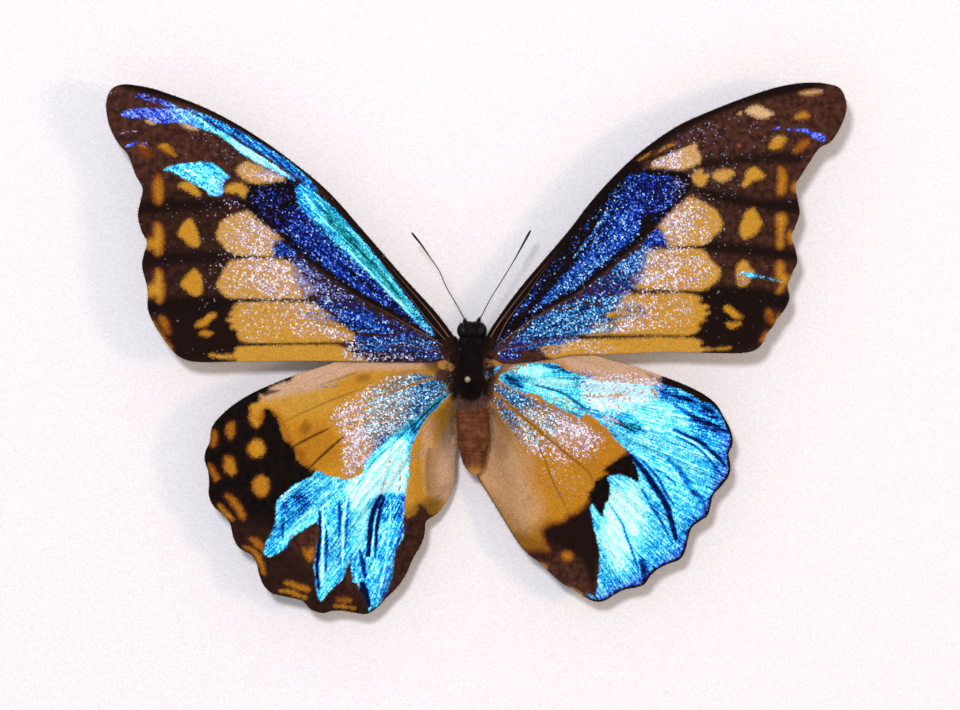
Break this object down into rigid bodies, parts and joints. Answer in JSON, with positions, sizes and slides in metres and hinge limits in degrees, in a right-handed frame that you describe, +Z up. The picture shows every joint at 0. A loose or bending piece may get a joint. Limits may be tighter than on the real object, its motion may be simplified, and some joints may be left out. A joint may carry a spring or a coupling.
{
  "type": "pinned butterfly specimen",
  "caption": "Dried butterfly with its wings spread flat, held on an insect pin, with dark brown, gold and metallic blue wings.",
  "frame": {"origin": "on the pin's axis, at the pin's cut lower end, in the plane that the pin and the feet rest on", "axes": "+X to the specimen's right seen from above, +Y to its head, +Z up along the pin"},
  "size_m": [0.12, 0.0863, 0.0177],
  "materials": {
    "forewing_scales": "dark brown scales with gold spots and blue glitter",
    "hindwing_scales": "metallic blue and gold-brown scales",
    "thorax_cuticle": "black, hairy",
    "abdomen_cuticle": "brown, downy",
    "head_cuticle": "black, hairy",
    "eye_cuticle": "dark and glossy",
    "antenna_cuticle": "black, satin",
    "leg_cuticle": "dark brown, satin",
    "pin_steel": "black enamelled steel wire",
    "pin_brass": "dull brass"
  },
  "bodies": {
    "root": {"left_forewing": "forewing_scales", "right_forewing": "forewing_scales", "left_hindwing": "hindwing_scales", "right_hindwing": "hindwing_scales", "thorax": "thorax_cuticle", "abdomen": "abdomen_cuticle", "head": "head_cuticle", "left_eye": "eye_cuticle", "right_eye": "eye_cuticle", "left_palp": "head_cuticle", "right_palp": "head_cuticle", "left_antenna": "antenna_cuticle", "right_antenna": "antenna_cuticle", "left_foreleg": "leg_cuticle", "right_foreleg": "leg_cuticle", "left_midleg": "leg_cuticle", "right_midleg": "leg_cuticle", "left_hindleg": "leg_cuticle", "right_hindleg": "leg_cuticle", "pin_shaft": "pin_steel", "pin_head": "pin_brass"}
  },
  "joints": []
}
